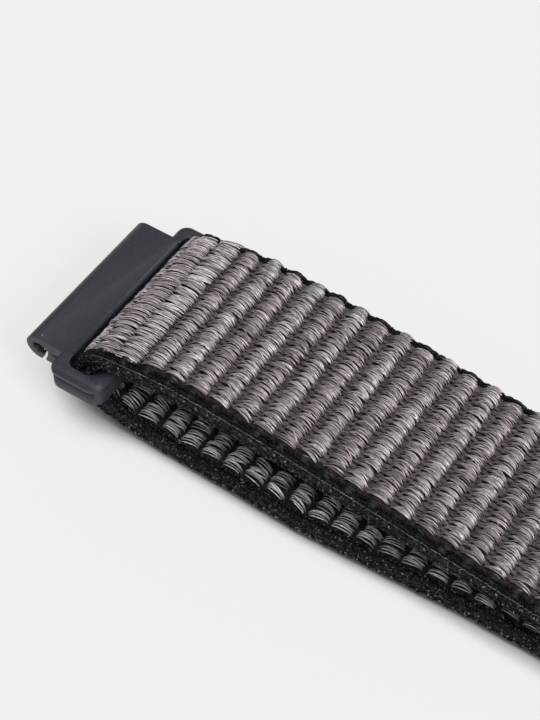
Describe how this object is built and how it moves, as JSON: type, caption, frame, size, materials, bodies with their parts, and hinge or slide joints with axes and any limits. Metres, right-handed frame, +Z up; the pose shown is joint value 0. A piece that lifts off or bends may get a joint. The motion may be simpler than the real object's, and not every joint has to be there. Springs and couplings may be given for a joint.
{
  "type": "watch strap",
  "caption": "Woven hook and loop watch strap, folded back through the slot of a plastic lug connector, with a second connector on a sprung quick-release bar.",
  "frame": {"origin": "on the surface that the strap lies on, under the middle of its bounding box", "axes": "+X along the strap from the adjustable connector to the fixed one, +Y across it, +Z up"},
  "size_m": [0.1534, 0.0274, 0.0122],
  "materials": {
    "shell": "moulded, dark charcoal, matte with a fine grain",
    "webbing": "woven grey and taupe ribs between black knitted selvedges",
    "blackened_steel": "blackened",
    "spring_wire": "bright drawn wire",
    "hooks": "fine moulded hooks",
    "tab": "hot pressed, slightly shiny",
    "thread": "black polyester thread"
  },
  "bodies": {
    "band": {"band_upper": "webbing", "band_fold": "webbing", "band_lower": "webbing"},
    "connector_a": {"a_top_shell": "shell", "a_bottom_shell": "shell"},
    "flap_root": {"flap_middle": "webbing"},
    "flap_tip": {"flap_end": "webbing", "hook_patch": "hooks", "end_tab": "tab", "patch_stitches": "thread"},
    "tail_1": {"tail_near": "webbing"},
    "tail_2": {"tail_middle": "webbing"},
    "tail_3": {"tail_far": "webbing", "tail_fold": "webbing", "sewn_return": "webbing", "return_stitches": "thread"},
    "connector_b": {"b_top_shell": "shell", "b_bottom_shell": "shell", "bar_barrel": "blackened_steel", "bar_spring": "spring_wire"},
    "tip_plain": {"bar_plain_tip": "blackened_steel"},
    "tip_release": {"bar_release_tip": "blackened_steel", "bar_release_lever": "blackened_steel"}
  },
  "joints": [
    {"name": "connector_a_swivel", "type": "hinge", "parent": "band", "child": "connector_a", "pos_m": [-0.0642, 0, 0.00645], "axis": [0, 1, 0], "range_deg": [-35, 35]},
    {"name": "flap_peel", "type": "hinge", "parent": "band", "child": "flap_root", "pos_m": [-0.0253, 0, 0.00869], "axis": [0, -1, 0], "range_deg": [0, 50]},
    {"name": "flap_tip_peel", "type": "hinge", "parent": "flap_root", "child": "flap_tip", "pos_m": [0.0044, 0, 0.0056], "axis": [0, -1, 0], "range_deg": [0, 50]},
    {"name": "tail_curl", "type": "hinge", "parent": "band", "child": "tail_1", "pos_m": [-0.01376, 0, 0.00055], "axis": [0, 1, 0], "range_deg": [0, 35]},
    {"name": "tail_curl_middle", "type": "hinge", "parent": "tail_1", "child": "tail_2", "pos_m": [0.00424, 0, 0.00055], "axis": [0, 1, 0], "range_deg": [0, 35]},
    {"name": "tail_curl_far", "type": "hinge", "parent": "tail_2", "child": "tail_3", "pos_m": [0.02224, 0, 0.00055], "axis": [0, 1, 0], "range_deg": [0, 35]},
    {"name": "connector_b_swivel", "type": "hinge", "parent": "tail_3", "child": "connector_b", "pos_m": [0.0642, 0, 0.00645], "axis": [0, 1, 0], "range_deg": [-35, 35]},
    {"name": "plain_tip_press", "type": "slide", "parent": "connector_b", "child": "tip_plain", "axis": [0, 1, 0], "range_m": [0, 0.0013], "stiffness_N_per_m": 300, "deforming": ["bar_spring"]},
    {"name": "release_tip_pull", "type": "slide", "parent": "connector_b", "child": "tip_release", "axis": [0, -1, 0], "range_m": [0, 0.0013], "stiffness_N_per_m": 300}
  ],
  "couplings": [
    {"joint": "flap_tip_peel", "follows": "flap_peel", "ratio": 1},
    {"joint": "tail_curl_middle", "follows": "tail_curl", "ratio": 1},
    {"joint": "tail_curl_far", "follows": "tail_curl", "ratio": 1}
  ]
}
